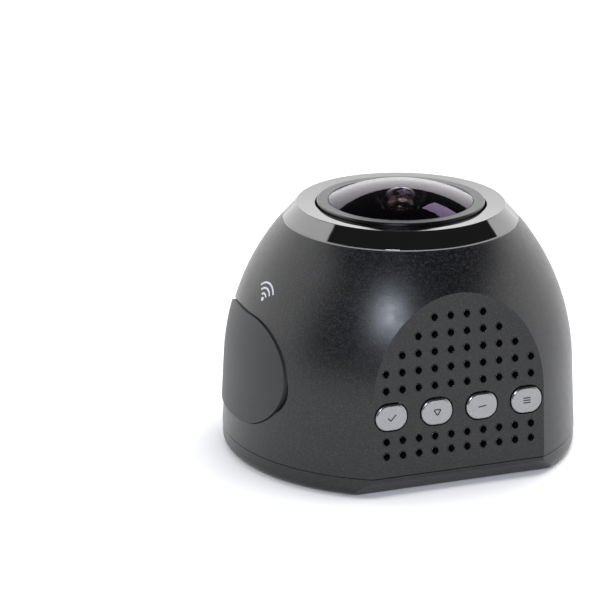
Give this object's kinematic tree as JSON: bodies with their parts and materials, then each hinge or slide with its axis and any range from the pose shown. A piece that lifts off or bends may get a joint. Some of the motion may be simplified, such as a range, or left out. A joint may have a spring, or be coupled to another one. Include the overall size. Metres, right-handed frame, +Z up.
{
  "type": "dash camera",
  "caption": "Small round panoramic dash camera with a domed lens on top, a grille panel with keys at the front and a port flap at the side.",
  "frame": {"origin": "centre of the foot disc's underside, on the ground, on the axis of the round body", "axes": "+Z up along the lens axis, -Y towards the grille panel and its keys, -X towards the port flap"},
  "size_m": [0.0522, 0.0484, 0.0393],
  "materials": {
    "moulded_black": "satin, fine metallic fleck",
    "flap_plastic": "matte",
    "dark_chrome": "polished dark chrome",
    "dark_anodised": "satin anodised",
    "barrel_anodised": "black anodised",
    "lens_glass": "polished, coated",
    "filter_glass": "polished",
    "black_plastic": "matte",
    "seal_rubber": "matte",
    "foam": "closed-cell foam",
    "cloth": "woven",
    "key_metal": "satin plated",
    "switch_plastic": "matte",
    "screw_steel": "zinc plated",
    "spacer_brass": "turned",
    "board_green": "solder mask",
    "chip_black": "moulded epoxy",
    "heatsink_aluminium": "milled",
    "socket_steel": "tin plated",
    "card_plastic": "moulded",
    "cell_foil": "foil pouch",
    "aerial_copper": "film"
  },
  "bodies": {
    "body": {"dome_housing": "moulded_black", "base_plate": "moulded_black", "trim_ring": "dark_chrome", "lens_bezel": "dark_anodised", "lens_barrel": "barrel_anodised", "rear_lens_ring": "barrel_anodised", "iris_stop": "barrel_anodised", "front_lens": "lens_glass", "second_lens": "lens_glass", "third_lens": "lens_glass", "fourth_lens": "lens_glass", "ir_filter": "filter_glass", "lens_spacer": "black_plastic", "lens_holder": "black_plastic", "connector_lower": "black_plastic", "connector_upper": "black_plastic", "reset_switch": "black_plastic", "speaker_clamp": "black_plastic", "speaker": "black_plastic", "lens_seal": "seal_rubber", "foot_pad": "foam", "battery_pad": "foam", "speaker_gasket": "foam", "upper_mesh": "cloth", "lower_mesh": "cloth", "tact_switches": "switch_plastic", "base_screws": "screw_steel", "ring_screws": "screw_steel", "holder_screws": "screw_steel", "sensor_board_screws": "screw_steel", "main_board_screws": "screw_steel", "button_board_screws": "screw_steel", "speaker_screws": "screw_steel", "hinge_pin": "screw_steel", "board_spacers": "spacer_brass", "sensor_board": "board_green", "main_board": "board_green", "button_board": "board_green", "processor": "chip_black", "memory_chip": "chip_black", "image_sensor": "chip_black", "heat_spreader": "heatsink_aluminium", "usb_socket": "socket_steel", "card_socket": "socket_steel", "microphone": "socket_steel", "battery": "cell_foil", "antenna": "aerial_copper"},
    "button_1": {"button_1": "key_metal", "switch_plunger_1": "switch_plastic"},
    "button_2": {"button_2": "key_metal", "switch_plunger_2": "switch_plastic"},
    "button_3": {"button_3": "key_metal", "switch_plunger_3": "switch_plastic"},
    "button_4": {"button_4": "key_metal", "switch_plunger_4": "switch_plastic"},
    "flap": {"port_cover": "flap_plastic"},
    "card": {"memory_card": "card_plastic"},
    "reset": {"reset_rod": "black_plastic"}
  },
  "joints": [
    {"name": "button_1_press", "type": "slide", "parent": "body", "child": "button_1", "axis": [0, 0.9987, -0.0506], "range_m": [0, 0.00035], "stiffness_N_per_m": 4000},
    {"name": "button_2_press", "type": "slide", "parent": "body", "child": "button_2", "axis": [0, 0.9987, -0.0506], "range_m": [0, 0.00035], "stiffness_N_per_m": 4000},
    {"name": "button_3_press", "type": "slide", "parent": "body", "child": "button_3", "axis": [0, 0.9987, -0.0506], "range_m": [0, 0.00035], "stiffness_N_per_m": 4000},
    {"name": "button_4_press", "type": "slide", "parent": "body", "child": "button_4", "axis": [0, 0.9987, -0.0506], "range_m": [0, 0.00035], "stiffness_N_per_m": 4000},
    {"name": "flap_hinge", "type": "hinge", "parent": "body", "child": "flap", "pos_m": [-0.02022, 0.01523, 0.014], "axis": [-0.0717, 0.054, -0.996], "range_deg": [0, 110]},
    {"name": "card_push", "type": "slide", "parent": "body", "child": "card", "axis": [1, 0, 0], "range_m": [0, 0.0008], "stiffness_N_per_m": 1500},
    {"name": "reset_press", "type": "slide", "parent": "body", "child": "reset", "axis": [1, 0, 0], "range_m": [0, 0.00025], "stiffness_N_per_m": 4000}
  ]
}
